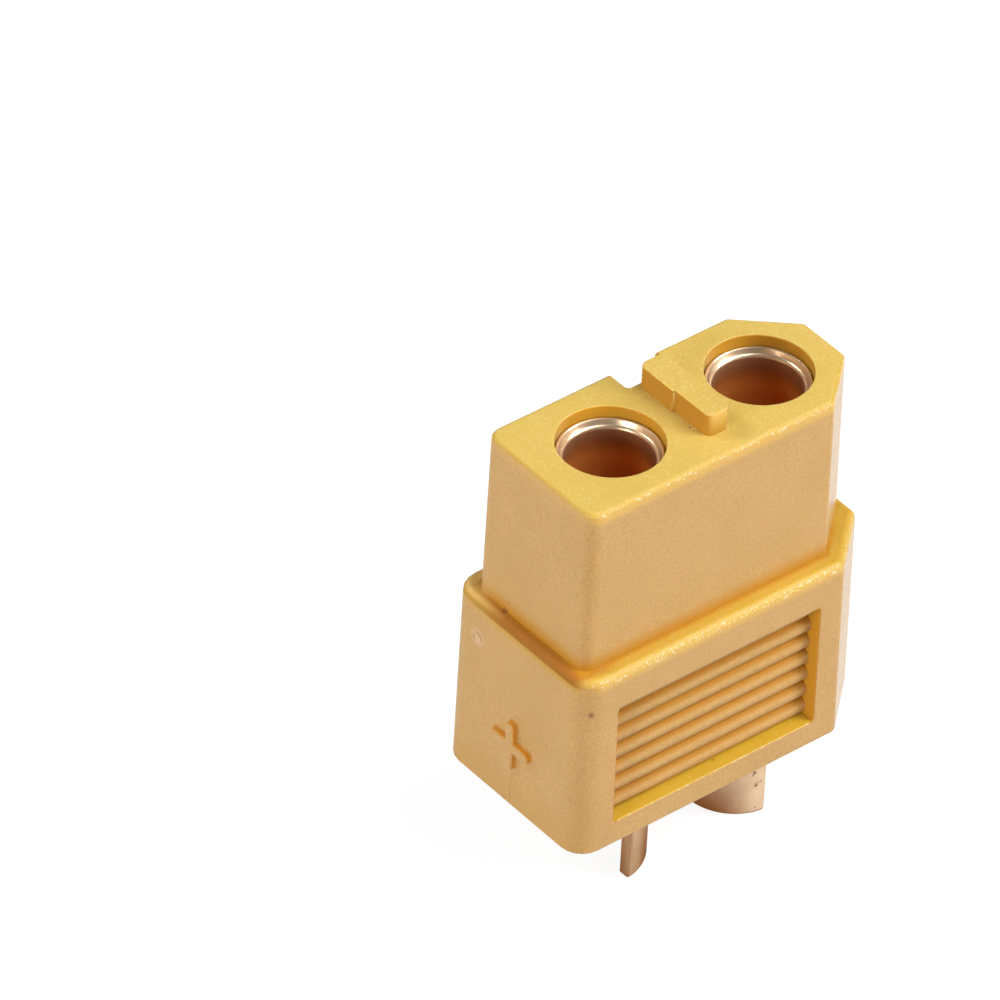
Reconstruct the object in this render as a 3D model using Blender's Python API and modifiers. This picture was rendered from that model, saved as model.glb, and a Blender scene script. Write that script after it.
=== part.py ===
# Two-pole power connector socket: a moulded housing that holds two turned contacts with solder cups.
# Metres, +Z up. The part stands on the ends of its solder cups at Z = 0. The mating face is on top,
# +X is the end with the polarising chamfers and -Y is the long face with the grip panel.
import math

import bmesh
import bpy
from mathutils import Matrix, Vector

# Housing base
BASE_LENGTH = 0.01512
BASE_WIDTH = 0.00815
BASE_HEIGHT = 0.0084
BASE_DRAFT = 0.00008
BASE_CORNER_RADIUS = 0.001
BASE_CHAMFER_X = 0.00244
BASE_CHAMFER_Y = 0.00221
BASE_KEY_RADIUS = 0.0004
BASE_TOP_FILLET = 0.00032
BASE_FOOT_FILLET = 0.0001

# Housing plug, which enters the mating connector
PLUG_LENGTH = 0.01404
PLUG_WIDTH = 0.00646
PLUG_HEIGHT = 0.00742
PLUG_END_DRAFT = 0.00009
PLUG_SIDE_DRAFT = 0.00007
PLUG_CORNER_RADIUS = 0.0006
PLUG_CHAMFER_X = 0.00224
PLUG_CHAMFER_Y = 0.00202
PLUG_KEY_RADIUS = 0.0003
PLUG_TOP_FILLET = 0.0002

# Raised rib between the sockets, and the gate notch behind it
RIB_WIDTH = 0.00115
RIB_OFFSET = -0.000075
RIB_LENGTH = 0.004
RIB_HEIGHT = 0.001
RIB_CORNER_RADIUS = 0.0003
RIB_TOP_FILLET = 0.00015
RIB_MOULD_STEP = 0.0001
NOTCH_WIDTH = 0.0023
NOTCH_DEPTH = 0.0015
NOTCH_CORNER_RADIUS = 0.0002

# Grip panel in the long -Y face
PANEL_LENGTH = 0.00984
PANEL_HEIGHT = 0.0056
PANEL_DEPTH = 0.00064
PANEL_END_MARGIN = 0.00172
PANEL_FOOT_MARGIN = 0.0011
PANEL_CORNER_RADIUS = 0.00018
GRIP_RIB_COUNT = 7
GRIP_RIB_HEIGHT = 0.00025
GRIP_CREASE_DEPTH = 0.00062

# Contacts
CONTACT_PITCH = 0.0072
CONTACT_OFFSET = 0.0001
SOCKET_RADIUS = 0.00205
SOCKET_BORE_RADIUS = 0.00174
SOCKET_BORE_DEPTH = 0.01
SOCKET_RIM_DEPTH = 0.0005
RIM_LAND = 0.00008
RIM_EDGE_BREAK = 0.00004
LEAD_IN_DEPTH = 0.00026
CUP_RADIUS = 0.00227
CUP_BORE_RADIUS = 0.00164
CUP_BORE_DEPTH = 0.006
CUP_END_RADIUS = 0.0003
SHOULDER_EDGE_BREAK = 0.00006
CUP_CUT_OFFSET = 0.00027
CUP_COLLAR_LENGTH = 0.001
TAIL_LENGTH = 0.0045
SHOULDER_LEVEL = 0.0036
RETAINING_RING_RADIUS = 0.0025
RETAINING_RING_LENGTH = 0.0008
RETAINING_RING_LEVEL = 0.0016
DRILL_POINT_ANGLE = math.radians(118.0)

# Clearances between the housing and a contact
RADIAL_CLEARANCE = 0.00005
SEAT_CLEARANCE = 0.0003

# Mesh fineness and working allowances
TURNED_STEPS = 64
ARC_STEPS = 5
GRIP_ARC_STEPS = 6
SMOOTH_ANGLE = math.radians(35.0)
OVERCUT = 0.001
EMBED = 0.0003
MERGE_DISTANCE = 0.000001

# Levels above the ends of the solder cups
HOUSING_FOOT = TAIL_LENGTH
BASE_TOP = HOUSING_FOOT + BASE_HEIGHT
PLUG_TOP = BASE_TOP + PLUG_HEIGHT
SOCKET_RIM = PLUG_TOP - SOCKET_RIM_DEPTH
SHOULDER = HOUSING_FOOT + SHOULDER_LEVEL
RING_FOOT = HOUSING_FOOT + RETAINING_RING_LEVEL
RING_TOP = RING_FOOT + RETAINING_RING_LENGTH


def collection(name):
    group = bpy.data.collections.new(name)
    bpy.context.scene.collection.children.link(group)
    return group


def material(name, color, metallic, roughness):
    finish = bpy.data.materials.new(name)
    finish.use_nodes = True
    shader = finish.node_tree.nodes["Principled BSDF"]
    shader.inputs["Base Color"].default_value = (*color, 1.0)
    shader.inputs["Metallic"].default_value = metallic
    shader.inputs["Roughness"].default_value = roughness
    finish.diffuse_color = (*color, 1.0)
    return finish


def rounded(corners, steps=ARC_STEPS):
    """Replace each corner (x, y, radius) of an outline with an arc that meets both sides."""
    points = []
    for index, (x, y, radius) in enumerate(corners):
        here = Vector((x, y))
        if radius == 0:
            points.append(here)
            continue
        back = (Vector(corners[index - 1][:2]) - here).normalized()
        ahead = (Vector(corners[(index + 1) % len(corners)][:2]) - here).normalized()
        half = back.angle(ahead) / 2
        center = here + (back + ahead).normalized() * radius / math.sin(half)
        start = here + back * radius / math.tan(half) - center
        sweep = start.angle_signed(here + ahead * radius / math.tan(half) - center)
        for step in range(steps + 1):
            points.append(center + Matrix.Rotation(-sweep * step / steps, 2) @ start)
    return points


def rectangle(left, right, low, high, radius):
    return rounded([(left, low, radius), (right, low, radius), (right, high, radius), (left, high, radius)])


def keyed_outline(length, width, corner_radius, chamfer_x, chamfer_y, key_radius):
    """Block outline with round corners at -X and the polarising chamfers at +X."""
    x = length / 2
    y = width / 2
    return rounded([
        (-x, -y, corner_radius),
        (x - chamfer_x, -y, key_radius),
        (x, -y + chamfer_y, key_radius),
        (x, y - chamfer_y, key_radius),
        (x - chamfer_x, y, key_radius),
        (-x, y, corner_radius),
    ])


def extruded(name, outline, thickness, placement, group):
    """Closed prism over a flat outline, standing on the placement's local XY plane."""
    curve = bpy.data.curves.new(name + "_outline", "CURVE")
    curve.dimensions = "2D"
    curve.fill_mode = "BOTH"
    curve.extrude = thickness / 2
    spline = curve.splines.new("POLY")
    spline.points.add(len(outline) - 1)
    for point, (x, y) in zip(spline.points, outline):
        point.co = (x, y, 0.0, 1.0)
    spline.use_cyclic_u = True
    drawn = bpy.data.objects.new(name + "_outline", curve)
    group.objects.link(drawn)
    drawn.matrix_world = placement @ Matrix.Translation((0, 0, thickness / 2))
    bpy.context.view_layer.update()
    mesh = bpy.data.meshes.new_from_object(drawn.evaluated_get(bpy.context.evaluated_depsgraph_get()))
    weld = bmesh.new()
    weld.from_mesh(mesh)
    bmesh.ops.remove_doubles(weld, verts=weld.verts, dist=MERGE_DISTANCE)
    for side in (-1, 1):
        caps = [face for face in weld.faces if face.normal.z * side > 0.99]
        bmesh.ops.dissolve_faces(weld, faces=caps)
    weld.to_mesh(mesh)
    weld.free()
    solid = bpy.data.objects.new(name, mesh)
    group.objects.link(solid)
    solid.matrix_world = drawn.matrix_world.copy()
    bpy.data.objects.remove(drawn)
    return solid


def drafted(solid, length, width, end_draft, side_draft):
    """Draw the upper outline of a prism in by the draft on each side."""
    for vertex in solid.data.vertices:
        if vertex.co.z > 0:
            vertex.co.x *= 1 - 2 * end_draft / length
            vertex.co.y *= 1 - 2 * side_draft / width


def rim_fillets(solid, top_fillet, foot_fillet=0.0):
    """Round the edges round a prism's top, and those round its foot where it has a fillet."""
    widest = max(top_fillet, foot_fillet)
    weights = solid.data.attributes.new("bevel_weight_edge", "FLOAT", "EDGE")
    for edge in solid.data.edges:
        ends = [solid.data.vertices[index].co.z for index in edge.vertices]
        if min(ends) > 0:
            weights.data[edge.index].value = top_fillet / widest
        elif max(ends) < 0:
            weights.data[edge.index].value = foot_fillet / widest
    bevel = solid.modifiers.new("fillet", "BEVEL")
    bevel.limit_method = "WEIGHT"
    bevel.width = widest
    bevel.segments = 4
    return solid


def turned(name, profile, location, group):
    """Solid of revolution about Z from (radius, height) pairs that run down its outer side."""
    mesh = bpy.data.meshes.new(name)
    points = [(radius, 0.0, height) for radius, height in profile]
    mesh.from_pydata(points, [(index, index + 1) for index in range(len(points) - 1)], [])
    solid = bpy.data.objects.new(name, mesh)
    solid.location = location
    group.objects.link(solid)
    screw = solid.modifiers.new("turn", "SCREW")
    screw.steps = TURNED_STEPS
    screw.render_steps = TURNED_STEPS
    screw.use_merge_vertices = True
    screw.merge_threshold = MERGE_DISTANCE
    return solid


def box(name, low, high, group):
    mesh = bpy.data.meshes.new(name)
    cage = bmesh.new()
    bmesh.ops.create_cube(cage, size=1.0)
    size = Vector(high) - Vector(low)
    bmesh.ops.scale(cage, vec=size, verts=cage.verts)
    cage.to_mesh(mesh)
    cage.free()
    solid = bpy.data.objects.new(name, mesh)
    solid.location = (Vector(low) + Vector(high)) / 2
    group.objects.link(solid)
    return solid


def combine(target, tool, operation):
    tool.hide_render = True
    tool.display_type = "WIRE"
    step = target.modifiers.new(tool.name, "BOOLEAN")
    step.operation = operation
    step.solver = "EXACT"
    step.object = tool


def finish(solid, look):
    """Fix the modelled shape in the mesh, give it its material and shade its round faces smooth."""
    bpy.context.view_layer.update()
    mesh = bpy.data.meshes.new_from_object(solid.evaluated_get(bpy.context.evaluated_depsgraph_get()))
    solid.modifiers.clear()
    solid.data = mesh
    mesh.name = solid.name
    mesh.materials.clear()
    mesh.materials.append(look)
    mesh.shade_smooth()
    mesh.set_sharp_from_angle(angle=SMOOTH_ANGLE)


def drill_point(radius):
    return radius / math.tan(DRILL_POINT_ANGLE / 2)


def contact_profile():
    """Section of a contact, from the bottom of its socket, over the rim and down to its solder cup."""
    socket_floor = SOCKET_RIM - SOCKET_BORE_DEPTH
    cup_end = []
    for step in range(ARC_STEPS + 1):
        angle = math.pi / 2 * step / ARC_STEPS
        inset = CUP_END_RADIUS * (1 - math.cos(angle))
        cup_end.append((CUP_RADIUS - inset, CUP_END_RADIUS * (1 - math.sin(angle))))
    return [
        (0.0, socket_floor - drill_point(SOCKET_BORE_RADIUS)),
        (SOCKET_BORE_RADIUS, socket_floor),
        (SOCKET_BORE_RADIUS, SOCKET_RIM - LEAD_IN_DEPTH),
        (SOCKET_RADIUS - RIM_EDGE_BREAK - RIM_LAND, SOCKET_RIM),
        (SOCKET_RADIUS - RIM_EDGE_BREAK, SOCKET_RIM),
        (SOCKET_RADIUS, SOCKET_RIM - RIM_EDGE_BREAK),
        (SOCKET_RADIUS, SHOULDER),
        (CUP_RADIUS - SHOULDER_EDGE_BREAK, SHOULDER),
        (CUP_RADIUS, SHOULDER - SHOULDER_EDGE_BREAK),
        (CUP_RADIUS, RING_TOP),
        (RETAINING_RING_RADIUS, RING_TOP),
        (CUP_RADIUS, RING_FOOT),
        *cup_end,
        (CUP_BORE_RADIUS, 0.0),
        (CUP_BORE_RADIUS, CUP_BORE_DEPTH),
        (0.0, CUP_BORE_DEPTH + drill_point(CUP_BORE_RADIUS)),
    ]


def bore_profile():
    """Section of the stepped bore that a contact sits in, with a groove for its retaining ring."""
    socket = SOCKET_RADIUS + RADIAL_CLEARANCE
    cup = CUP_RADIUS + RADIAL_CLEARANCE
    groove = RETAINING_RING_RADIUS + RADIAL_CLEARANCE
    return [
        (0.0, PLUG_TOP + OVERCUT),
        (socket, PLUG_TOP + OVERCUT),
        (socket, SHOULDER + SEAT_CLEARANCE),
        (cup, SHOULDER + SEAT_CLEARANCE),
        (cup, RING_TOP + SEAT_CLEARANCE),
        (groove, RING_TOP + SEAT_CLEARANCE),
        (groove, RING_TOP),
        (cup, RING_FOOT),
        (cup, HOUSING_FOOT - OVERCUT),
        (0.0, HOUSING_FOOT - OVERCUT),
    ]


def grip_outline():
    """Section of the grip ribs across the panel: arcs side by side, backed by a strip inside the wall."""
    pitch = PANEL_HEIGHT / GRIP_RIB_COUNT
    radius = pitch ** 2 / (8 * GRIP_RIB_HEIGHT) + GRIP_RIB_HEIGHT / 2
    half_angle = math.asin(pitch / 2 / radius)
    crease = BASE_WIDTH / 2 - GRIP_CREASE_DEPTH
    inside = crease - GRIP_RIB_HEIGHT - EMBED
    points = [(inside, -EMBED), (crease, -EMBED)]
    for rib in range(GRIP_RIB_COUNT):
        for step in range(GRIP_ARC_STEPS):
            angle = half_angle * (2 * step / GRIP_ARC_STEPS - 1)
            out = radius * (math.cos(angle) - math.cos(half_angle))
            points.append((crease + out, pitch * (rib + 0.5) + radius * math.sin(angle)))
    points += [(crease, PANEL_HEIGHT), (crease, PANEL_HEIGHT + EMBED), (inside, PANEL_HEIGHT + EMBED)]
    return points


def build_housing(group, tools, look):
    outline = keyed_outline(
        BASE_LENGTH, BASE_WIDTH, BASE_CORNER_RADIUS, BASE_CHAMFER_X, BASE_CHAMFER_Y, BASE_KEY_RADIUS
    )
    housing = extruded("housing", outline, BASE_HEIGHT, Matrix.Translation((0, 0, HOUSING_FOOT)), group)
    drafted(housing, BASE_LENGTH, BASE_WIDTH, BASE_DRAFT, BASE_DRAFT)
    rim_fillets(housing, BASE_TOP_FILLET, BASE_FOOT_FILLET)

    outline = keyed_outline(
        PLUG_LENGTH, PLUG_WIDTH, PLUG_CORNER_RADIUS, PLUG_CHAMFER_X, PLUG_CHAMFER_Y, PLUG_KEY_RADIUS
    )
    plug = extruded("plug", outline, PLUG_HEIGHT + EMBED, Matrix.Translation((0, 0, BASE_TOP - EMBED)), tools)
    drafted(plug, PLUG_LENGTH, PLUG_WIDTH, PLUG_END_DRAFT, PLUG_SIDE_DRAFT)
    combine(housing, rim_fillets(plug, PLUG_TOP_FILLET), "UNION")

    half_width = RIB_WIDTH / 2
    half_length = RIB_LENGTH / 2
    outline = rounded([
        (RIB_MOULD_STEP - half_width, -half_length, RIB_CORNER_RADIUS),
        (half_width, -half_length, RIB_CORNER_RADIUS),
        (half_width, half_length, RIB_CORNER_RADIUS),
        (-half_width, half_length, RIB_CORNER_RADIUS),
        (-half_width, 0.0, 0.0),
        (RIB_MOULD_STEP - half_width, 0.0, 0.0),
    ])
    place = Matrix.Translation((CONTACT_OFFSET + RIB_OFFSET, 0, PLUG_TOP - EMBED))
    rib = extruded("rib", outline, RIB_HEIGHT + EMBED, place, tools)
    combine(housing, rim_fillets(rib, RIB_TOP_FILLET), "UNION")

    left = CONTACT_OFFSET - NOTCH_WIDTH / 2
    outline = rectangle(left, left + NOTCH_WIDTH, half_length, PLUG_WIDTH / 2 + OVERCUT, NOTCH_CORNER_RADIUS)
    place = Matrix.Translation((0, 0, PLUG_TOP - NOTCH_DEPTH))
    combine(housing, extruded("notch", outline, NOTCH_DEPTH + OVERCUT, place, tools), "DIFFERENCE")

    left = PANEL_END_MARGIN - BASE_LENGTH / 2
    foot = HOUSING_FOOT + PANEL_FOOT_MARGIN
    outline = rectangle(left, left + PANEL_LENGTH, foot, foot + PANEL_HEIGHT, PANEL_CORNER_RADIUS)
    floor = BASE_WIDTH / 2 - PANEL_DEPTH
    place = Matrix.Translation((0, -floor, 0)) @ Matrix.Rotation(math.pi / 2, 4, "X")
    combine(housing, extruded("panel", outline, PANEL_DEPTH + OVERCUT, place, tools), "DIFFERENCE")
    # The grip section's own X and Y run to -Y and +Z, so its prism is laid along -X from the far end.
    along_x = Matrix(((0, 0, -1), (-1, 0, 0), (0, 1, 0))).to_4x4()
    place = Matrix.Translation((left + PANEL_LENGTH + EMBED, 0, foot)) @ along_x
    combine(housing, extruded("grip", grip_outline(), PANEL_LENGTH + 2 * EMBED, place, tools), "UNION")

    for side, name in ((-1, "bore_positive"), (1, "bore_negative")):
        bore = turned(name, bore_profile(), contact_location(side), tools)
        combine(housing, bore, "DIFFERENCE")
    finish(housing, look)


def contact_location(side):
    return (CONTACT_OFFSET + side * CONTACT_PITCH / 2, 0.0, 0.0)


def build_contact(name, side, group, tools, look):
    """Turned contact whose tail is cut to a half-round cup that opens away from the other contact."""
    contact = turned(name, contact_profile(), (0, 0, 0), group)
    reach = CUP_RADIUS + OVERCUT
    top = TAIL_LENGTH - CUP_COLLAR_LENGTH
    cutter = box(name + "_cup_cut", (-reach, -reach, -OVERCUT), (CUP_CUT_OFFSET, reach, top), tools)
    combine(contact, cutter, "DIFFERENCE")
    finish(contact, look)
    for piece in (contact, cutter):
        turn = Matrix.Rotation(math.pi if side > 0 else 0.0, 4, "Z")
        piece.matrix_world = Matrix.Translation(contact_location(side)) @ turn @ piece.matrix_basis


def build():
    for leftover in list(bpy.data.objects):
        bpy.data.objects.remove(leftover)
    group = collection("power_connector_socket")
    tools = collection("cutters")
    nylon = material("amber_nylon", (0.63, 0.40, 0.09), 0.0, 0.55)
    gold = material("gold_plate", (0.72, 0.42, 0.20), 1.0, 0.3)
    build_housing(group, tools, nylon)
    build_contact("contact_positive", -1, group, tools, gold)
    build_contact("contact_negative", 1, group, tools, gold)


build()
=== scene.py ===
import math

import bmesh
import bpy
from mathutils import Matrix, Vector


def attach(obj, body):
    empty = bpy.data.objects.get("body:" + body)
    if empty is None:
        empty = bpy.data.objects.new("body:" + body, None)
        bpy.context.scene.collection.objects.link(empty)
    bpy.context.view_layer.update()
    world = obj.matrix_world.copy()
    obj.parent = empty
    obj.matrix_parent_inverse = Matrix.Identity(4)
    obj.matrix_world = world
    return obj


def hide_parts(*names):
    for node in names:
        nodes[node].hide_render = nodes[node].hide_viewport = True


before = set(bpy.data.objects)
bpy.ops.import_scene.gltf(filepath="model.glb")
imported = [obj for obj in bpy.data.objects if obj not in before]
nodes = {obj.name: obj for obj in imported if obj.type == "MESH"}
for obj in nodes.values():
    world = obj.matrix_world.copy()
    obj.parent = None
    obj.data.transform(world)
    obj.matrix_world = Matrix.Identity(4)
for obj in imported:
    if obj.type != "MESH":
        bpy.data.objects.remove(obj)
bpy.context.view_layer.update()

MM = 0.001
TOOLS = bpy.data.collections.new("cutters")
bpy.context.scene.collection.children.link(TOOLS)

# Places on the part, in millimetres in the shared frame
HOUSING_FOOT = 4.5
BASE_TOP = HOUSING_FOOT + 8.4
PLUG_TOP = BASE_TOP + 7.42
BASE_HALF_LENGTH = 7.56
BASE_HALF_WIDTH = 4.075
PLUG_HALF_LENGTH = 7.02
PLUG_HALF_WIDTH = 3.23
PLUG_CHAMFER_REACH = 5.6
CHAMFER_NORMAL_X = 0.67
CHAMFER_NORMAL_Y = 0.743
CONTACT_MIDDLE = 0.1
HALF_PITCH = 3.6
HOLE_RADIUS = 2.1
RIB_WALL = -0.55
RIB_TOP = PLUG_TOP + 1.0

# Grip panel
PANEL_FOOT = HOUSING_FOOT + 1.1
PANEL_HEIGHT = 5.6
PANEL_ENDS = (-5.84, 4.0)
GRIP_RIB_COUNT = 7
GRIP_RIB_HEIGHT = 0.32
GRIP_CREST_DEPTH = 0.51
GRIP_ARC_STEPS = 12
HOUSING_EDGE_BREAK = 0.05

# Raised polarity signs on the two ends
SIGN_LEVEL = HOUSING_FOOT + 3.03
SIGN_REACH = 1.1
SIGN_HALF_ARM = 0.21
SIGN_ROUND_STEPS = 8
SIGN_SINK = 0.03

# Section of a raised sign: height off the face, and how far its outline spreads there
SIGN_SECTION = (
    (-0.3, 0.10),
    (0.0, 0.09),
    (0.03, 0.05),
    (0.14, 0.03),
    (0.2, 0.01),
    (0.235, -0.03),
    (0.25, -0.09),
)

# Small round mark left by the mould on the same end as the plus
RING_MARK = Vector((-7.52, 2.40, HOUSING_FOOT + 6.65))
RING_MARK_RADIUS = 0.22
RING_MARK_WIRE = 0.022
RING_MARK_STEPS = 19
RING_MARK_START = -60
RING_MARK_TURN = 15
RING_MARK_SIDES = 8
RING_MARK_ZONE = 0.35

# Fine flash lines of the mould: name, two ends, the way the face points, width and height
SEAM_ROOT = 0.1
RIB_SEAM_X = RIB_WALL + 0.04
SEAMS = (
    ("end_seam_low",
     (-7.553, 0.03, HOUSING_FOOT + 0.15), (-7.536, 0.03, SIGN_LEVEL - 1.0), (-1, 0, 0), 0.05, 0.012),
    ("rib_seam",
     (RIB_SEAM_X, 0.0, PLUG_TOP - 0.02), (RIB_SEAM_X, 0.0, RIB_TOP - 0.1), (-1, 0, 0), 0.06, 0.04),
    ("top_seam",
     (RIB_WALL - 0.4, 0.0, PLUG_TOP), (RIB_WALL + 0.1, 0.0, PLUG_TOP), (0, 0, 1), 0.05, 0.015),
)

# Turned contact
SOCKET_RIM = PLUG_TOP - 0.5
SOCKET_RADIUS = 2.05
SOCKET_BORE_RADIUS = 1.74
SOCKET_FLOOR = SOCKET_RIM - 10.0
SHOULDER = HOUSING_FOOT + 3.6
CUP_RADIUS = 2.27
CUP_BORE_RADIUS = 1.64
CUP_BORE_DEPTH = 6.0
CUP_END_RADIUS = 0.3
CUP_CUT_TOP = 3.5
CUP_CUT_OFFSET = 0.27
RING_RADIUS = 2.5
RING_FOOT = HOUSING_FOOT + 1.6
RING_TOP = RING_FOOT + 0.8
DRILL_SLOPE = math.tan(math.radians(59))
TURNED_STEPS = 144
BORE_RINGS = 8
CUP_END_STEPS = 8
SHOULDER_BREAK = 0.06
CUP_EDGE_BREAK = 0.035

# Stepped rim of a socket, from inside to outside: out from the bore, and up from the rim
RIM_SECTION = (
    (-0.002, -0.36), (0.006, -0.31), (0.03, -0.27), (0.075, -0.215), (0.09, -0.205),
    (0.1, -0.215), (0.112, -0.2), (0.15, -0.13), (0.185, -0.06), (0.205, -0.02),
    (0.225, 0.0), (0.265, 0.0), (0.29, -0.012), (0.31, -0.04),
)

# Working the meshes: degrees, and a length in millimetres
SHARP_ANGLE = 32
SMOOTH_ANGLE = 38
FLAT_ANGLE = 0.8
WELD = 0.0005

# Colours of the nylon, where a pair is what a slow cloud or a fade runs between
CLEAR_AMBER = ((0.57, 0.35, 0.016), (0.60, 0.37, 0.02))
WALL_AMBER = ((0.63, 0.37, 0.125), (0.67, 0.395, 0.14))
TOP_AMBER = ((0.68, 0.462, 0.092), (0.71, 0.49, 0.11))
# Painted shade on the ledge of the rounded end, which the plug shades, and painted light at its back
LEDGE_PAINTED_SHADE = ((0.38, 0.14, 0.002), (0.44, 0.148, 0.002))
LEDGE_PAINTED_LIGHT = ((0.56, 0.32, 0.05), (0.96, 0.62, 0.18))
# Painted shade: deep orange for walls in holes, recesses and under the rib
PAINTED_SHADE_AMBER = (0.41, 0.14, 0.004)
# Painted light: a bright amber glow on shaded walls, standing in for light coming through the nylon
PAINTED_LIGHT_AMBER = (0.77, 0.41, 0.028)
WALL_FLECK = (0.46, 0.25, 0.06)
TOP_SPARK = (0.93, 0.72, 0.32)
# Painted shade towards the foot of the rounded end
FOOT_PAINTED_SHADE = (0.58, 0.31, 0.06)
# Painted light along the top of the walls
EDGE_PAINTED_LIGHT = (0.80, 0.50, 0.10)
SHADE_AMBER = (0.60, 0.325, 0.012)
# Painted shade in the corner where the plug rises from the base
CORNER_PAINTED_SHADE = (0.56, 0.245, 0.008)
# Painted highlight: a pale glint along ridges and fillets
RIDGE_PAINTED_GLINT = (0.82, 0.71, 0.46)
# Painted shade on the flanks of the grip ribs, down into the creases
RIB_GROOVE_PAINTED_SHADE = (0.48, 0.20, 0.002)
# Painted shade on the side walls of the raised signs
SIGN_WALL_PAINTED_SHADE = (0.64, 0.25, 0.003)
MARK_HALO = (0.86, 0.66, 0.46)
SPECK = (0.25, 0.08, 0.025)

# Colours of the plating
RIM_GOLD = ((0.95, 0.76, 0.53), (0.84, 0.61, 0.40))
CUP_GOLD = ((0.78, 0.56, 0.365), (0.72, 0.50, 0.31))
# Painted shade down the bore: red-brown deep down, dark just below the rim
BORE_PAINTED_SHADE = ((0.80, 0.30, 0.065), (0.28, 0.10, 0.03))
# Tarnished copper, partly real tarnish and partly painted shade on one side of each cup
CUP_TARNISH_AND_SHADE = (0.23, 0.085, 0.03)
PIT = (0.16, 0.09, 0.06)

# Size of the grain in the finishes, in millimetres
CLOUD_GRAIN = 2.4
SPARK_GRAIN = 0.12
FLECK_GRAIN = 0.1
FINE_GRAIN = 0.045
DULL_GRAIN = 0.9
PIT_GRAIN = 0.4
TURNING_GRAIN = 0.35
PLATE_GRAIN = 0.06

# Surface of the nylon and of the plating, with depths in millimetres
INSIDE_ROUGHNESS = 0.45
WALL_ROUGHNESS = 0.47
FLECK_ROUGHNESS = 0.06
POLISH = 0.27
GRAIN_DEPTH = 0.024
BRIGHT_ROUGHNESS = 0.28
DULL_ROUGHNESS = 0.38
TURNING_DEPTH = 0.002

# Where a colour fades in or out along an axis, in millimetres
CORNER_REACH = (0.0, 0.9)
CORNER_FOOT = (-0.03, -0.01)
CORNER_BACK_Y = (1.6, 3.2)
CORNER_BACK_X = (-7.1, -6.5)
CORNER_CHAMFER_X = (5.6, 6.6)
CORNER_OUTWARD = 3.5
PLUG_EDGE_Z = (PLUG_TOP - 0.65, PLUG_TOP - 0.25)
BASE_EDGE_Z = (BASE_TOP - 0.65, BASE_TOP - 0.25)
WALL_EDGE_X = (-7.0, -6.6)
SHADED_EDGE_X = (-7.5, -7.25)
SHADED_EDGE_Y = (1.0, 2.6)
SHADED_EDGE_Z = (BASE_TOP - 0.75, BASE_TOP - 0.35)
END_FOOT_X = (-7.5, -7.2)
END_FOOT_Z = (HOUSING_FOOT, HOUSING_FOOT + 2.2)
LEDGE_X = (-6.4, -5.4)
LEDGE_Y = (-3.75, -3.1)
LEDGE_Z = (BASE_TOP - 0.4, BASE_TOP - 0.3)
LEDGE_FLAT_Z = (BASE_TOP - 0.2, BASE_TOP - 0.02)
LEDGE_BACK_Y = (0.8, 3.2)
LEDGE_LID = BASE_TOP + 0.01
BORE_SHADE_Z = (SOCKET_RIM - 1.8, SOCKET_RIM - 0.5)

# How faces are told apart by the way they point, and by how deep they lie in their block
LEVEL_FACE = 0.97
LEVEL_ACROSS = 0.3
WALL_DEPTH = 0.3
PANEL_FRONT = -3.0
SIGN_ZONE_X = 7.4
SIGN_ZONE = 1.5
CUP_FLAT = 0.98

# Finish at a face corner: grained wall, parting face, deep amber painted shade, ridge with a painted
# glint, and painted light standing in for light coming through
OUTER_WALL = (1.0, 0.0, 0.0, 0.0, 0.0)
PARTING_FACE = (0.0, 1.0, 0.0, 0.0, 0.0)
# Ridge shares below give a painted glint: strong on the ring mark, faint on the rib top and ledges
RING_MARK_FINISH = (0.6, 0.0, 0.0, 0.8, 0.0)
RIB_TOP_FINISH = (0.0, 1.0, 0.0, 0.1, 0.0)
LEDGE_FINISH = (0.2, 0.0, 0.0, 0.1, 0.0)
PANEL_LEDGE_FINISH = (0.0, 0.0, 0.0, 0.1, 0.0)


# Node materials

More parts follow.
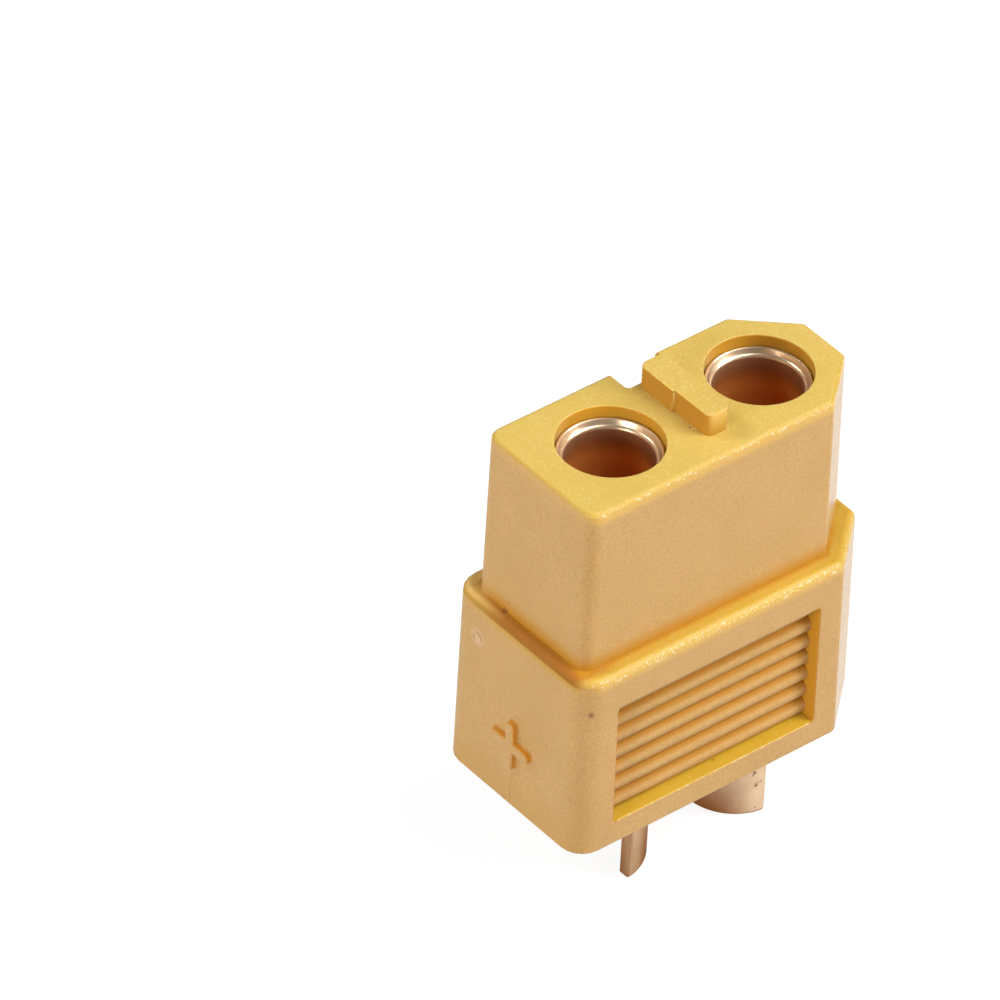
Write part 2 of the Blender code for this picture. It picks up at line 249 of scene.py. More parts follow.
class Nodes:
    """Wires a material's nodes. Grain, fades, stains and bumps are given in millimetres."""

    def __init__(self, name):
        self.material = bpy.data.materials.new(name)
        self.material.use_nodes = True
        self.tree = self.material.node_tree
        self.shader = self.tree.nodes["Principled BSDF"]
        coordinates = self.tree.nodes.new("ShaderNodeTexCoord")
        self.place = coordinates.outputs["Object"]

    def join(self, source, target):
        if hasattr(source, "links"):
            self.tree.links.new(source, target)
        else:
            target.default_value = source

    def noise(self, grain, detail, roughness=0.5, stretch=(1, 1, 1)):
        mapping = self.tree.nodes.new("ShaderNodeMapping")
        mapping.inputs["Scale"].default_value = stretch
        self.join(self.place, mapping.inputs["Vector"])
        node = self.tree.nodes.new("ShaderNodeTexNoise")
        self.join(mapping.outputs["Vector"], node.inputs["Vector"])
        node.inputs["Scale"].default_value = 1 / (grain * MM)
        node.inputs["Detail"].default_value = detail
        node.inputs["Roughness"].default_value = roughness
        return node.outputs["Fac"]

    def math(self, operation, a, b=0.0):
        node = self.tree.nodes.new("ShaderNodeMath")
        node.operation = operation
        self.join(a, node.inputs[0])
        self.join(b, node.inputs[1])
        return node.outputs[0]

    def ramp(self, value, low, high, bottom=0.0, top=1.0):
        node = self.tree.nodes.new("ShaderNodeMapRange")
        node.interpolation_type = "SMOOTHSTEP"
        for name, number in (("From Min", low), ("From Max", high), ("To Min", bottom), ("To Max", top)):
            node.inputs[name].default_value = number
        self.join(value, node.inputs["Value"])
        return node.outputs["Result"]

    def mix(self, factor, a, b):
        node = self.tree.nodes.new("ShaderNodeMix")
        node.data_type = "RGBA"
        self.join(factor, node.inputs["Factor"])
        for color, socket in ((a, node.inputs[6]), (b, node.inputs[7])):
            if hasattr(color, "links"):
                self.join(color, socket)
            else:
                socket.default_value = (*color, 1.0)
        return node.outputs[2]

    def attribute(self, name):
        node = self.tree.nodes.new("ShaderNodeAttribute")
        node.attribute_name = name
        return node.outputs["Fac"]

    def axis(self, vector, letter):
        node = self.tree.nodes.new("ShaderNodeSeparateXYZ")
        self.join(vector, node.inputs[0])
        return node.outputs[letter]

    def times(self, a, b):
        return self.math("MULTIPLY", a, b)

    def less(self, a, b):
        return self.math("SUBTRACT", a, b)

    def most(self, a, b):
        return self.math("MAXIMUM", a, b)

    def fade(self, value, span, bottom=0.0, top=1.0):
        """A ramp over a span given in millimetres."""
        return self.ramp(value, span[0] * MM, span[1] * MM, bottom, top)

    def corner_painted_shade(self):
        """Painted shade, strong in the corner where the plug rises from the base, fading up the wall and
        outward.
        """
        x, y, z = (self.axis(self.place, letter) for letter in "XYZ")
        aside = self.math("ABSOLUTE", y)
        slant = self.math("ADD", self.times(x, CHAMFER_NORMAL_X), self.times(aside, CHAMFER_NORMAL_Y))
        out = self.most(
            self.less(self.math("ABSOLUTE", x), PLUG_HALF_LENGTH * MM),
            self.less(aside, PLUG_HALF_WIDTH * MM),
        )
        out = self.most(out, self.less(slant, PLUG_CHAMFER_REACH * MM))
        up = self.less(z, BASE_TOP * MM)
        near = self.fade(self.most(self.times(out, CORNER_OUTWARD), up), CORNER_REACH, 0.97, 0.0)
        back = self.times(self.fade(y, CORNER_BACK_Y, 0.0, 0.8), self.fade(x, CORNER_BACK_X, 1.0, 0.0))
        near = self.times(near, self.less(1.0, back))
        near = self.times(near, self.fade(x, CORNER_CHAMFER_X, 1.0, 0.3))
        return self.times(near, self.fade(up, CORNER_FOOT))

    def wall_top_painted_light(self):
        """Painted light that grows to the top of a wall, standing in for light coming through the edge,
        and less on the rounded end.
        """
        up = self.axis(self.place, "Z")
        plug = self.fade(up, PLUG_EDGE_Z, 0.0, 0.8)
        base = self.times(self.fade(up, BASE_EDGE_Z, 0.0, 0.8), self.math("LESS_THAN", up, BASE_TOP * MM))
        along = self.fade(self.axis(self.place, "X"), WALL_EDGE_X, 0.25, 1.0)
        return self.times(self.most(plug, base), along)

    def wall_edge_in_shade(self):
        """The same along the top of the base on the rounded end, which lies in the shade of the plug."""
        x, y, z = (self.axis(self.place, letter) for letter in "XYZ")
        edge = self.times(self.fade(z, SHADED_EDGE_Z), self.math("LESS_THAN", z, BASE_TOP * MM))
        edge = self.times(edge, self.fade(y, SHADED_EDGE_Y, 1.0, 0.3))
        return self.times(edge, self.fade(x, SHADED_EDGE_X, 1.0, 0.0))

    def foot_painted_shade(self):
        """Painted shade that grows towards the foot of the rounded end, making it a little deeper in
        colour.
        """
        foot = self.fade(self.axis(self.place, "Z"), END_FOOT_Z, 0.6, 0.0)
        return self.times(foot, self.fade(self.axis(self.place, "X"), END_FOOT_X, 1.0, 0.0))

    def end_ledge_painted_shade_and_light(self, color):
        """The colour with the ledge at the rounded end laid in: deep amber painted shade where the plug
        shades it, and paler painted light at the back.
        """
        x, y, z = (self.axis(self.place, letter) for letter in "XYZ")
        on = self.times(self.fade(x, LEDGE_X, 1.0, 0.0), self.fade(z, LEDGE_Z))
        on = self.times(on, self.math("LESS_THAN", z, LEDGE_LID * MM))
        on = self.times(on, self.fade(y, LEDGE_Y))
        flat = self.fade(z, LEDGE_FLAT_Z)
        amber = self.mix(flat, *LEDGE_PAINTED_SHADE)
        pale = self.mix(flat, *LEDGE_PAINTED_LIGHT)
        return self.mix(on, color, self.mix(self.fade(y, LEDGE_BACK_Y), amber, pale))

    def stain(self, place, radius, strength):
        """A soft round mark about a place on the part."""
        node = self.tree.nodes.new("ShaderNodeVectorMath")
        node.operation = "DISTANCE"
        self.join(self.place, node.inputs[0])
        node.inputs[1].default_value = Vector(place) * MM
        return self.fade(node.outputs["Value"], (radius * 0.3, radius), strength, 0.0)

    def bump(self, height, distance, strength):
        node = self.tree.nodes.new("ShaderNodeBump")
        node.inputs["Strength"].default_value = strength
        node.inputs["Distance"].default_value = distance * MM
        self.join(height, node.inputs["Height"])
        return node.outputs["Normal"]

    def set(self, **sockets):
        for name, value in sockets.items():
            self.join(value, self.shader.inputs[name.replace("_", " ")])


# Small dark specks on the moulding: place, radius and strength
STAINS = (
    ((-7.10, -3.90, HOUSING_FOOT + 6.88), 0.21, 0.85),
    ((-7.02, -3.95, HOUSING_FOOT + 6.72), 0.12, 0.45),
    ((-7.05, 1.39, BASE_TOP), 0.2, 0.7),
    ((-7.0, 1.25, BASE_TOP + 0.45), 0.1, 0.4),
    ((-7.53, -2.4, HOUSING_FOOT + 1.0), 0.07, 0.4),
    ((-7.4, -3.35, HOUSING_FOOT + 2.6), 0.2, 0.18),
    ((-0.6, -1.14, PLUG_TOP), 0.09, 0.5),
    ((-0.62, -1.35, PLUG_TOP + 0.02), 0.07, 0.5),
    ((-0.52, -3.52, HOUSING_FOOT + 1.1), 0.11, 0.5),
)


def nylon():
    """Amber nylon: hazy spark grain on the outer walls, a finer grain on top, clear amber inside, with
    painted shade, painted light and painted glints in its colour.
    """
    m = Nodes("amber_nylon")
    wall = m.attribute("grained_wall")
    face = m.attribute("parting_face")
    ridge = m.attribute("ridge")
    cloud = m.ramp(m.noise(CLOUD_GRAIN, 4.0), 0.3, 0.7)
    fleck = m.ramp(m.noise(FLECK_GRAIN, 3.0, 0.6), 0.35, 0.68)
    spark = m.ramp(m.noise(SPARK_GRAIN, 2.0, 0.6), 0.52, 0.68)
    glint = m.ramp(m.noise(SPARK_GRAIN, 3.0, 0.6), 0.5, 0.66)

    clear = m.mix(cloud, *CLEAR_AMBER)
    clear = m.mix(m.attribute("painted_shade_depth"), clear, PAINTED_SHADE_AMBER)
    clear = m.mix(m.attribute("painted_light_through"), clear, PAINTED_LIGHT_AMBER)
    side = m.mix(cloud, *WALL_AMBER)
    side = m.mix(m.times(fleck, 0.4), side, WALL_FLECK)
    side = m.mix(m.foot_painted_shade(), side, FOOT_PAINTED_SHADE)
    side = m.mix(m.wall_top_painted_light(), side, EDGE_PAINTED_LIGHT)
    side = m.mix(m.wall_edge_in_shade(), side, SHADE_AMBER)
    top = m.mix(cloud, *TOP_AMBER)
    top = m.mix(m.times(spark, 0.25), top, TOP_SPARK)
    color = m.end_ledge_painted_shade_and_light(m.mix(face, m.mix(wall, clear, side), top))
    color = m.mix(m.corner_painted_shade(), color, CORNER_PAINTED_SHADE)
    color = m.mix(m.times(m.times(glint, ridge), 0.8), color, RIDGE_PAINTED_GLINT)
    color = m.mix(m.attribute("groove_painted_shade"), color, RIB_GROOVE_PAINTED_SHADE)
    color = m.mix(m.attribute("sign_wall_painted_shade"), color, SIGN_WALL_PAINTED_SHADE)
    color = m.mix(m.stain(RING_MARK, 0.5, 0.4), color, MARK_HALO)
    for place, radius, strength in STAINS:
        color = m.mix(m.stain(place, radius, strength), color, SPECK)

    grained = m.most(wall, face)
    rough = m.ramp(grained, 0.0, 1.0, INSIDE_ROUGHNESS, WALL_ROUGHNESS)
    rough = m.math("ADD", rough, m.times(fleck, FLECK_ROUGHNESS))
    grain = m.math("ADD", m.noise(FLECK_GRAIN, 2.0, 0.6), m.times(m.noise(FINE_GRAIN, 2.0), 0.5))
    grain = m.times(grain, m.math("ADD", m.ramp(grained, 0.0, 1.0, 0.25, 1.0), ridge))
    m.set(Base_Color=color)
    m.set(Roughness=m.less(rough, m.times(m.attribute("polish"), POLISH)))
    m.set(Normal=m.bump(grain, GRAIN_DEPTH, 0.8))
    m.set(IOR=1.53)
    m.set(Sheen_Weight=0.15, Sheen_Roughness=0.35, Sheen_Tint=(1.0, 0.96, 0.9, 1.0))
    m.set(Subsurface_Weight=0.2, Subsurface_Radius=(1.0, 0.4, 0.05), Subsurface_Scale=0.8 * MM)
    return m.material


def gold():
    """Gold on turned brass: pale at the rim, painted shade down the bore, dark below the rim and
    red-brown deeper, coppery, tarnished and pitted on the cups, with painted shade on one side.
    """
    m = Nodes("rose_gold_plate")
    bore = m.attribute("bore")
    tail = m.attribute("tail")
    dull = m.ramp(m.noise(DULL_GRAIN, 4.0, 0.6), 0.35, 0.7)
    pits = m.times(tail, m.ramp(m.noise(PIT_GRAIN, 3.0, 0.6), 0.665, 0.695))

    rim = m.mix(dull, *RIM_GOLD)
    cup = m.mix(m.attribute("tarnish_and_shade"), m.mix(dull, *CUP_GOLD), CUP_TARNISH_AND_SHADE)
    inside = m.mix(m.fade(m.axis(m.place, "Z"), BORE_SHADE_Z), *BORE_PAINTED_SHADE)
    color = m.mix(tail, m.mix(bore, rim, inside), cup)

    turning = m.noise(TURNING_GRAIN, 2.0, 0.5, (0.05, 0.05, 6.0))
    height = m.math("ADD", turning, m.times(m.noise(PLATE_GRAIN, 2.0), 0.4))
    height = m.less(height, m.times(pits, 4.0))
    m.set(Base_Color=m.mix(pits, color, PIT))
    m.set(Specular_Tint=(0.6, 0.42, 0.3, 1.0))
    m.set(Metallic=m.less(m.ramp(tail, 0.0, 1.0, 0.8, 1.0), m.times(bore, 0.4)))
    rough = m.ramp(dull, 0.0, 1.0, BRIGHT_ROUGHNESS, DULL_ROUGHNESS)
    m.set(Roughness=m.math("ADD", rough, m.times(tail, 0.1)))
    m.set(Normal=m.bump(m.times(height, m.less(1.0, bore)), TURNING_DEPTH, 0.6))
    return m.material


# Geometry

def link(name, mesh, group=None):
    piece = bpy.data.objects.new(name, mesh)
    (group or bpy.context.scene.collection).objects.link(piece)
    return piece


def tool(name, mesh):
    piece = link(name, mesh, TOOLS)
    piece.hide_render = True
    piece.display_type = "WIRE"
    return piece


def loft(name, rings):
    """Closed solid through rings of points that match one to one."""
    shape = bmesh.new()
    loops = [[shape.verts.new(Vector(point) * MM) for point in ring] for ring in rings]
    for low, high in zip(loops, loops[1:]):
        for index in range(len(low)):
            after = (index + 1) % len(low)
            shape.faces.new((low[index], low[after], high[after], high[index]))
    shape.faces.new(reversed(loops[0]))
    shape.faces.new(loops[-1])
    bmesh.ops.recalc_face_normals(shape, faces=shape.faces)
    mesh = bpy.data.meshes.new(name)
    shape.to_mesh(mesh)
    shape.free()
    return tool(name, mesh)


def sign_outline(arms, half):
    """Outline of a sign of round-ended arms at the given angles: four make a plus, two make a minus."""
    points = []
    reach = SIGN_REACH - SIGN_HALF_ARM
    for direction in arms:
        along = math.radians(direction)
        for step in range(SIGN_ROUND_STEPS + 1):
            angle = along + math.radians(step * 180 / SIGN_ROUND_STEPS - 90)
            points.append((
                reach * math.cos(along) + half * math.cos(angle),
                reach * math.sin(along) + half * math.sin(angle),
            ))
        if len(arms) == 4:
            corner = along + math.pi / 4
            diagonal = half * math.sqrt(2)
            points.append((diagonal * math.cos(corner), diagonal * math.sin(corner)))
    return points


def raised_sign(name, arms, side):
    """Sign that stands off the end face on that side, with a soft foot and rounded top edges."""
    face = BASE_HALF_LENGTH - SIGN_SINK
    rings = []
    for height, spread in SIGN_SECTION:
        outline = sign_outline(arms, SIGN_HALF_ARM + spread)
        rings.append([(side * (face + height), -side * u, v + SIGN_LEVEL) for u, v in outline])
    return loft(name, rings)


def seam(name, start, stop, out, width, height):
    """Fine flash line between two points: a low rounded strip that stands off the face."""
    start, stop, out = Vector(start), Vector(stop), Vector(out)
    across = out.cross(stop - start).normalized() * width / 2
    rings = []
    for end in (start, stop):
        rings.append([
            end - across - out * SEAM_ROOT,
            end - across,
            end - across * 0.5 + out * height,
            end + across * 0.5 + out * height,
            end + across,
            end + across - out * SEAM_ROOT,
        ])
    return loft(name, rings)


def ring_mark():
    """Part of a fine ring, half sunk in the end face."""
    rings = []
    for step in range(RING_MARK_STEPS):
        turn = math.radians(RING_MARK_START + step * RING_MARK_TURN)
        out = Vector((0, math.cos(turn), math.sin(turn)))
        wire = RING_MARK_WIRE * (0.35 + 0.65 * math.sin(math.pi * (step + 0.5) / RING_MARK_STEPS))
        middle = RING_MARK + out * RING_MARK_RADIUS
        angles = [math.tau * corner / RING_MARK_SIDES for corner in range(RING_MARK_SIDES)]
        rings.append([
            middle + out * (wire * math.cos(angle)) + Vector((wire * math.sin(angle), 0, 0))
            for angle in angles
        ])
    return loft("ring_mark", rings)


def grip_relief():
    """The space in front of the grip ribs, which lie side by side with a sharp crease between them."""
    pitch = PANEL_HEIGHT / GRIP_RIB_COUNT
    radius = pitch ** 2 / (8 * GRIP_RIB_HEIGHT) + GRIP_RIB_HEIGHT / 2
    half_angle = math.asin(pitch / 2 / radius)
    axis = radius + GRIP_CREST_DEPTH - BASE_HALF_WIDTH
    section = [(-BASE_HALF_WIDTH - 0.2, PANEL_FOOT + PANEL_HEIGHT), (-BASE_HALF_WIDTH - 0.2, PANEL_FOOT)]
    for rib in range(GRIP_RIB_COUNT):
        for step in range(GRIP_ARC_STEPS + (rib == GRIP_RIB_COUNT - 1)):
            angle = half_angle * (2 * step / GRIP_ARC_STEPS - 1)
            level = PANEL_FOOT + (rib + 0.5) * pitch
            section.append((axis - radius * math.cos(angle), level + radius * math.sin(angle)))
    return loft("grip_relief", [[(x, y, z) for y, z in section] for x in PANEL_ENDS])


def combine(target, other, operation="UNION"):
    step = target.modifiers.new(other.name, "BOOLEAN")
    step.operation = operation
    step.solver = "EXACT"
    step.object = other


def bake(piece):
    bpy.context.view_layer.update()
    mesh = bpy.data.meshes.new_from_object(piece.evaluated_get(bpy.context.evaluated_depsgraph_get()))
    piece.modifiers.clear()
    piece.data = mesh


def twin(node, name):
    """A copy of a CAD node to work detail into, with its flat faces joined up again."""
    mesh = nodes[node].data.copy()
    shape = bmesh.new()
    shape.from_mesh(mesh)
    bmesh.ops.remove_doubles(shape, verts=shape.verts, dist=WELD * MM)
    flat = math.radians(FLAT_ANGLE)
    bmesh.ops.dissolve_limit(shape, angle_limit=flat, verts=shape.verts, edges=shape.edges)
    shape.to_mesh(mesh)
    shape.free()
    piece = link(name, mesh)
    piece.matrix_world = nodes[node].matrix_world
    return piece


def soften(piece, width, chosen):
    """Round the sharp edges that are chosen by their middle point. Lengths are in millimetres."""
    shape = bmesh.new()
    shape.from_mesh(piece.data)
    picked = []
    for edge in shape.edges:
        middle = (edge.verts[0].co + edge.verts[1].co) / 2 / MM
        sharp = len(edge.link_faces) == 2 and edge.calc_face_angle() > math.radians(SHARP_ANGLE)
        if sharp and chosen(middle):
            picked.append(edge)
    bmesh.ops.bevel(shape, geom=picked, offset=width * MM, segments=2, profile=0.5, affect="EDGES",
                    clamp_overlap=False)
    shape.to_mesh(piece.data)
    shape.free()


def shade(piece):
    piece.data.shade_smooth()
    piece.data.set_sharp_from_angle(angle=math.radians(SMOOTH_ANGLE))
    weights = piece.modifiers.new("normals", "WEIGHTED_NORMAL")
    weights.keep_sharp = True
    weights.weight = 100


def dress(piece, material, node):
    piece.data.materials.clear()
    piece.data.materials.append(material)
    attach(piece, "root")
    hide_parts(node)


def soft_step(value, low, high):
    share = min(max((value - low) / (high - low), 0.0), 1.0)
    return share * share * (3 - 2 * share)


def mark(mesh, names, finish_of):
    """Write a finish at each face corner: finish_of(normal, center, point) gives a value per name."""
    for name in names:
        mesh.attributes.new(name, "FLOAT", "CORNER")
    layers = [mesh.attributes[name].data for name in names]
    for polygon in mesh.polygons:
        center = polygon.center / MM
        for corner in polygon.loop_indices:
            point = mesh.vertices[mesh.loops[corner].vertex_index].co / MM
            for layer, value in zip(layers, finish_of(polygon.normal, center, point)):
                layer[corner].value = value


def housing_finish(mesh):
    """Finish of the moulding by place: grained walls, parting faces, painted shade in deep corners,
    creases and on sign walls, painted glints on bright ridges and painted light.
    """
    points = [vertex.co / MM for vertex in mesh.vertices]
    blocks = [
        [point for point in points if point.z < BASE_TOP and abs(point.x) < BASE_HALF_LENGTH + 0.02],
        [point for point in points if BASE_TOP + 0.02 < point.z < PLUG_TOP],
    ]
    reaches = {}

    def gap(normal, center):
        """How far a face lies inside the outline of its block."""
        block = int(center.z > BASE_TOP)
        angle = round(math.degrees(math.atan2(normal.y, normal.x)))
        if (block, angle) not in reaches:
            x, y = math.cos(math.radians(angle)), math.sin(math.radians(angle))
            reaches[block, angle] = (x, y, max(x * point.x + y * point.y for point in blocks[block]))
        x, y, reach = reaches[block, angle]
        return reach - (x * center.x + y * center.y)

    def on_sign(center):
        beside, above = abs(center.y), abs(center.z - SIGN_LEVEL)
        return abs(center.x) > SIGN_ZONE_X and beside < SIGN_ZONE and above < SIGN_ZONE

    def at_front(normal, center):
        """Whether a face lies on the side of the grip panel and doesn't look along the part."""
        return center.y < PANEL_FRONT and abs(normal.x) < LEVEL_ACROSS

    # Painted shade on the side walls of a raised sign, by how far they turn from the end face
    def sign_wall_shade_of(normal, center):
        return 1 - soft_step(abs(normal.x), 0.5, 0.9) if on_sign(center) else 0.0

    def finish_of(normal, center, point):
        up = normal.z
        hole = Vector((abs(center.x - CONTACT_MIDDLE) - HALF_PITCH, center.y)).length
        # Socket walls: painted light on the side facing the lamps on the right, painted shade and painted
        # glow on the rest, painted glint on the rim's upward faces
        if hole < HOLE_RADIUS + 0.08 and up < LEVEL_FACE and center.z > HOUSING_FOOT + 0.1:
            bright = soft_step(up, 0.2, 0.9)
            hazy = soft_step(normal.x, 0.0, 0.8)
            amber = 0.7 - 0.25 * soft_step(-normal.x, 0.2, 0.8)
            return hazy, bright, 0.6 * (1 - bright), bright * 0.3, amber * (1 - bright) * (1 - hazy)
        if on_sign(center):
            return OUTER_WALL
        if (center - RING_MARK).length < RING_MARK_ZONE and abs(normal.x) < 0.995:
            return RING_MARK_FINISH
        # The rib: painted glints on its fillets, strongest at the front, painted light on the upper part
        # of its front end, painted shade with a little painted light on its other walls
        if center.z > PLUG_TOP + 0.01:
            if up > 0.75:
                return RIB_TOP_FINISH
            if up > 0.2:
                return 0.2, 0.8, 0.0, 0.5 if normal.y < -0.2 else 0.1, 0.0
            front = soft_step(-normal.y, 0.5, 0.9)
            bright = front * soft_step(point.z, PLUG_TOP + 0.3, PLUG_TOP + 0.9)
            return bright, 0.0, 0.75 * (1 - bright), 0.0, 0.15 * (1 - bright)
        if up < -0.5:
            return OUTER_WALL
        if up > LEVEL_FACE:
            if center.z > PLUG_TOP - 0.1:
                return PARTING_FACE
            return LEDGE_FINISH if center.z > BASE_TOP - 0.1 else PANEL_LEDGE_FINISH
        if gap(normal, center) < WALL_DEPTH:
            if up > 0.15:
                # Painted glint along the fillet, strong on its steeper part and left out where it faces
                # the rounded end
                glow = 0.0 if normal.x < -0.4 else 1.0 if up < 0.65 else 0.2
                return 1 - up, 0.25 * up, 0.0, glow, 0.0
            return OUTER_WALL
        if at_front(normal, center) and center.z < HOUSING_FOOT + 6.8:
            return OUTER_WALL
        # Walls inside recesses and holes: deep amber painted shade with some painted light, more on walls
        # that face the rounded end
        return 0.0, 0.0, 1.0, 0.0, 0.5 if normal.x < -0.9 else 0.15

    def rib_lift(center, point):
        """Height on a grip rib, from -1 at its lower crease to 1 at its upper crease."""
        pitch = PANEL_HEIGHT / GRIP_RIB_COUNT
        rib = math.floor((center.z - PANEL_FOOT) / pitch)
        return (point.z - PANEL_FOOT) / pitch * 2 - 2 * rib - 1

    def groove_shade_of(normal, center, point):
        """How much painted shade a face corner takes in the crease between two grip ribs, on the upper
        and lower flanks of a rib.
        """
        ledge = abs(normal.z) >= LEVEL_FACE
        if ledge or not at_front(normal, center) or gap(normal, center) <= WALL_DEPTH:
            return 0.0
        lift = rib_lift(center, point)
        return soft_step(lift, 0.25, 0.75) if lift > 0 else soft_step(-lift, 0.05, 0.9)

    def polish_of(normal, center):
        """Roughness taken away, from -1 for a duller face to 1 for a shiny chamfer."""
        if at_front(normal, center) and gap(normal, center) > WALL_DEPTH:
            return -1.0 if abs(normal.z) < LEVEL_FACE else 0.0
        rib_wall = center.z > PLUG_TOP + 0.01 and normal.x < -0.9
        shaded_fillet = center.z < BASE_TOP and normal.x < -0.3 and 0.15 < normal.z < 0.98
        if rib_wall or shaded_fillet:
            return -1.0
        return 1.0 if normal.x > 0.5 and abs(normal.y) > 0.5 and abs(normal.z) < 0.1 else 0.0

    names = (
        "grained_wall", "parting_face", "painted_shade_depth", "ridge", "painted_light_through",
        "polish", "groove_painted_shade", "sign_wall_painted_shade",
    )
    mark(mesh, names, lambda normal, center, point: (
        *finish_of(normal, center, point),
        polish_of(normal, center),
        groove_shade_of(normal, center, point),
        sign_wall_shade_of(normal, center),
    ))


def housing_edges(middle):
    """The rims of the sockets and the edges of the grip panel."""
    hole = Vector((abs(middle.x - CONTACT_MIDDLE) - HALF_PITCH, middle.y)).length
    mouth = middle.z > PLUG_TOP - 0.02 and hole < HOLE_RADIUS + 0.1
    panel = middle.y < -BASE_HALF_WIDTH + 0.12 and HOUSING_FOOT + 1 < middle.z < HOUSING_FOOT + 7
    return mouth or panel


def contact_section():
    """Section of a contact from the floor of its socket, over the rim and down to its solder cup."""
    cup_end = []
    for step in range(CUP_END_STEPS + 1):
        angle = math.pi / 2 * step / CUP_END_STEPS
        inset = CUP_END_RADIUS * (1 - math.cos(angle))
        cup_end.append((CUP_RADIUS - inset, CUP_END_RADIUS * (1 - math.sin(angle))))
    return [
        (0.0, SOCKET_FLOOR - SOCKET_BORE_RADIUS / DRILL_SLOPE),
        (SOCKET_BORE_RADIUS, SOCKET_FLOOR),
        *[(SOCKET_BORE_RADIUS, SOCKET_RIM - BORE_RINGS + step) for step in range(BORE_RINGS)],
        *[(SOCKET_BORE_RADIUS + out, SOCKET_RIM + up) for out, up in RIM_SECTION],
        (SOCKET_RADIUS, SHOULDER),
        (CUP_RADIUS - SHOULDER_BREAK, SHOULDER),
        (CUP_RADIUS, SHOULDER - SHOULDER_BREAK),
        (CUP_RADIUS, RING_TOP),
        (RING_RADIUS, RING_TOP),
        (CUP_RADIUS, RING_FOOT),
        *cup_end,
        (CUP_BORE_RADIUS, 0.0),
        (CUP_BORE_RADIUS, CUP_BORE_DEPTH),
        (0.0, CUP_BORE_DEPTH + CUP_BORE_RADIUS / DRILL_SLOPE),
    ]


def turned_contact(name, side):
    """Turned contact whose tail is cut to a half-round cup that opens away from the other contact."""
    shape = bmesh.new()
    rows = []
    for radius, height in contact_section():
        steps = TURNED_STEPS if radius else 1
        angles = [math.tau * (step + 0.5) / steps for step in range(steps)]
        rows.append([shape.verts.new(Vector((radius * math.cos(a), radius * math.sin(a), height)) * MM)
                     for a in angles])
    for upper, lower in zip(rows, rows[1:]):
        for step in range(TURNED_STEPS):
            after = (step + 1) % TURNED_STEPS
            ring = [upper[step % len(upper)], upper[after % len(upper)],
                    lower[after % len(lower)], lower[step % len(lower)]]
            shape.faces.new(list(dict.fromkeys(ring)))
    bmesh.ops.recalc_face_normals(shape, faces=shape.faces)
    mesh = bpy.data.meshes.new(name)
    shape.to_mesh(mesh)
    shape.free()
    piece = link(name, mesh)
    outside = [(-3, -3), (CUP_CUT_OFFSET, -3), (CUP_CUT_OFFSET, 3), (-3, 3)]
    cutter = loft(name + "_cup_cut", [[(x, y, z) for x, y in outside] for z in (-1.0, CUP_CUT_TOP)])
    combine(piece, cutter, "DIFFERENCE")
    bake(piece)
    soften(piece, CUP_EDGE_BREAK, lambda middle: middle.z < CUP_CUT_TOP + 0.1)
    axis = CONTACT_MIDDLE + side * HALF_PITCH
    turn = Matrix.Rotation(math.pi if side > 0 else 0.0, 4, "Z")
    piece.data.transform(Matrix.Translation(Vector((axis, 0, 0)) * MM) @ turn)

    def finish_of(normal, center, point):
        """How far a face corner belongs to the bore and to the tail, and how far it is tarnished and
        darkened by painted shade.
        """
        across = Vector((point.x - axis, point.y))
        inside = across.length < SOCKET_BORE_RADIUS + 0.02 and point.z > SOCKET_FLOOR - 2
        bore = soft_step(SOCKET_RIM - point.z, 0.26, 0.40) if inside else 0.0
        tail = soft_step(HOUSING_FOOT + 1 - point.z, 0.0, 0.5)
        # Partly tarnished, partly painted shade: darker towards one side of the cup, at its rounded tip,
        # and more on the near contact
        tarnish_and_shade = 0.62
        if abs(normal.x) < CUP_FLAT:
            tarnish_and_shade = soft_step(abs(across.normalized().x), 0.08 + 0.08 * side, 0.78 + 0.1 * side)
        tarnish_and_shade = max(tarnish_and_shade, 0.9 * soft_step(CUP_END_RADIUS - point.z, 0.02, 0.2), 0.25 - 0.25 * side)
        return bore, tail, tarnish_and_shade

    mark(piece.data, ("bore", "tail", "tarnish_and_shade"), finish_of)
    return piece


housing = twin("housing", "housing_moulding")
soften(housing, HOUSING_EDGE_BREAK, housing_edges)
combine(housing, grip_relief(), "DIFFERENCE")
combine(housing, raised_sign("plus", (0, 90, 180, 270), -1))
combine(housing, raised_sign("minus", (0, 180), 1))
for line in SEAMS:
    combine(housing, seam(*line))
combine(housing, ring_mark())
bake(housing)
housing_finish(housing.data)
shade(housing)
dress(housing, nylon(), "housing")

plating = gold()
for node, side in (("contact_positive", -1), ("contact_negative", 1)):
    contact = turned_contact(node + "_turned", side)
    shade(contact)
    dress(contact, plating, node)


# Floor, backdrop and light

def backdrop_rays(tree):
    """1 for rays that look at the backdrop, direct or mirrored, and 0 for rays that carry light."""
    path = tree.nodes.new("ShaderNodeLightPath")
    total = path.outputs["Is Camera Ray"]
    for name in ("Is Glossy Ray", "Is Transmission Ray"):
        step = tree.nodes.new("ShaderNodeMath")
        step.operation = "MAXIMUM"
        tree.links.new(total, step.inputs[0])
        tree.links.new(path.outputs[name], step.inputs[1])
        total = step.outputs[0]
    return total


FLOOR_HALF_SIZE = 1.5
FLOOR_IN_LIGHT = (0.35, 0.35, 0.35)
FLOOR_IN_VIEW = (0.2, 0.2, 0.2)
FLOOR_GLOW = 0.9
SKY_FADE = (("From Min", 0.0), ("From Max", 0.7), ("To Min", 0.3), ("To Max", 0.1))

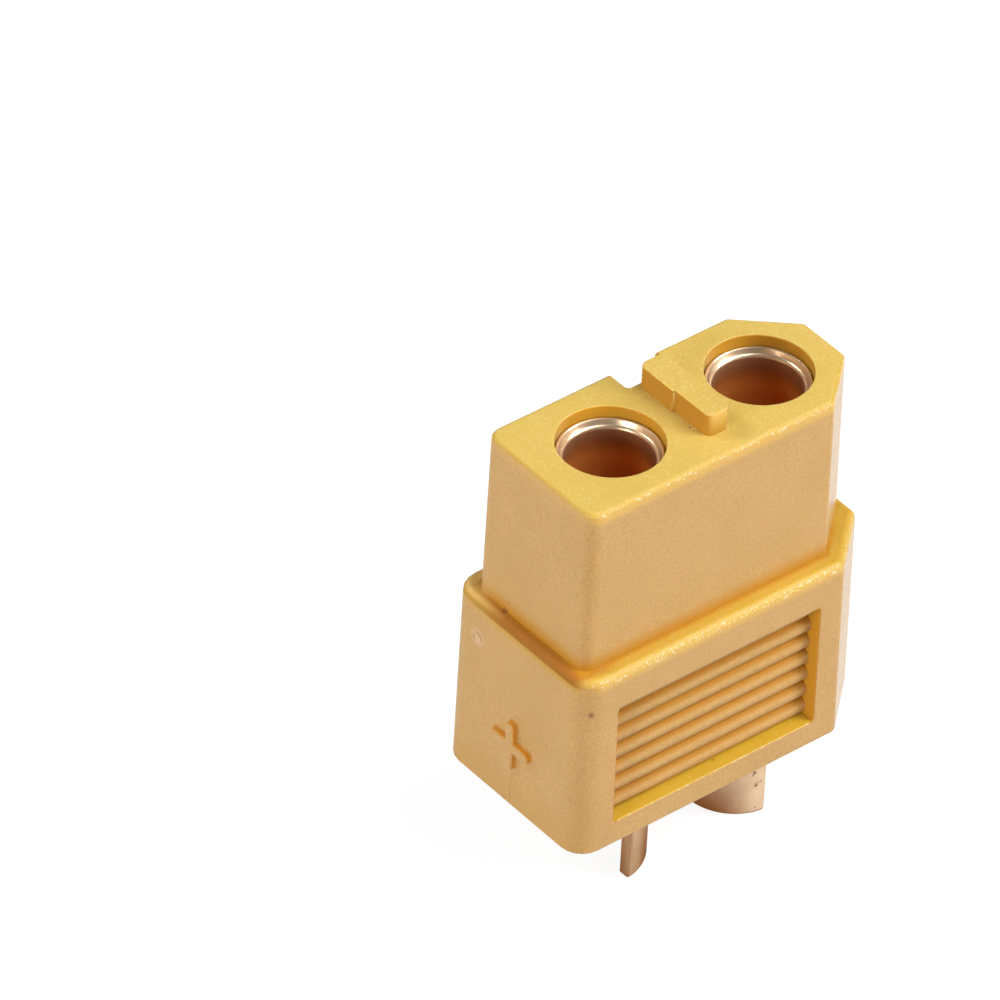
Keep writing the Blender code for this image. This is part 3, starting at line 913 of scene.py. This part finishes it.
floor_mesh = bpy.data.meshes.new("floor")
plane = bmesh.new()
bmesh.ops.create_grid(plane, x_segments=1, y_segments=1, size=FLOOR_HALF_SIZE)
plane.to_mesh(floor_mesh)
plane.free()
paper = Nodes("pale_floor")
looked_at = backdrop_rays(paper.tree)
paper.set(Base_Color=paper.mix(looked_at, FLOOR_IN_LIGHT, FLOOR_IN_VIEW))
paper.set(Emission_Color=(1.0, 1.0, 1.0, 1.0), Emission_Strength=paper.times(looked_at, FLOOR_GLOW))
paper.set(Roughness=0.95, Specular_IOR_Level=0.1)
floor_mesh.materials.append(paper.material)
floor = link("floor", floor_mesh)

# The surroundings give low light all round, and less from above
world = bpy.data.worlds.new("studio")
bpy.context.scene.world = world
world.use_nodes = True
tree = world.node_tree
sky = tree.nodes["Background"]
where = tree.nodes.new("ShaderNodeTexCoord")
split = tree.nodes.new("ShaderNodeSeparateXYZ")
fade = tree.nodes.new("ShaderNodeMapRange")
tree.links.new(where.outputs["Generated"], split.inputs[0])
tree.links.new(split.outputs["Z"], fade.inputs["Value"])
for name, number in SKY_FADE:
    fade.inputs[name].default_value = number
seen = tree.nodes.new("ShaderNodeMath")
seen.operation = "MAXIMUM"
tree.links.new(backdrop_rays(tree), seen.inputs[0])
tree.links.new(fade.outputs["Result"], seen.inputs[1])
tree.links.new(seen.outputs[0], sky.inputs["Strength"])


MIDDLE = Vector((0.0, 0.0, 0.011))


def softbox(name, place, size, power, color=(1.0, 1.0, 1.0)):
    """Round area lamp that points at the middle of the part. Lengths are in metres."""
    light = bpy.data.lights.new(name, "AREA")
    light.color = color
    light.shape = "DISK"
    light.size = size
    light.energy = power
    lamp = bpy.data.objects.new(name, light)
    lamp.location = place
    lamp.rotation_euler = (MIDDLE - Vector(place)).to_track_quat("-Z", "Y").to_euler()
    bpy.context.scene.collection.objects.link(lamp)


softbox("top_right", (0.11, -0.16, 0.31), 0.3, 1.16)
softbox("front_right", (0.24, -0.24, 0.17), 0.18, 0.76)
softbox("fill_left", (-0.33, -0.08, 0.09), 0.11, 0.72, (1.0, 0.975, 0.9))
softbox("back_left", (-0.2, 0.24, 0.3), 0.14, 0.6)

# Camera, fitted to the photograph, with lengths in millimetres
AZIMUTH = math.radians(-40.525)
ELEVATION = math.radians(39.482)
ROLL = math.radians(2.763)
SHIFT_RIGHT = -6.614
SHIFT_UP = 2.495
DISTANCE = 384.364
LENS = 366.55
TARGET_LEVEL = HOUSING_FOOT + 8.0

away = Vector((
    math.sin(AZIMUTH) * math.cos(ELEVATION),
    -math.cos(AZIMUTH) * math.cos(ELEVATION),
    math.sin(ELEVATION),
))
level = Vector((math.cos(AZIMUTH), math.sin(AZIMUTH), 0.0))
rise = away.cross(level)
right = level * math.cos(ROLL) + rise * math.sin(ROLL)
upward = rise * math.cos(ROLL) - level * math.sin(ROLL)
target = Vector((CONTACT_MIDDLE, 0.0, TARGET_LEVEL)) + right * SHIFT_RIGHT + upward * SHIFT_UP
lens = bpy.data.cameras.new("camera")
lens.lens = LENS
lens.sensor_width = 36.0
lens.clip_start = 0.01
lens.clip_end = 10.0
camera = bpy.data.objects.new("camera", lens)
facing = Matrix((right, upward, away)).transposed().to_4x4()
camera.matrix_world = Matrix.Translation((target + away * DISTANCE) * MM) @ facing
bpy.context.scene.collection.objects.link(camera)
bpy.context.scene.camera = camera
bpy.context.scene.view_settings.view_transform = "Standard"
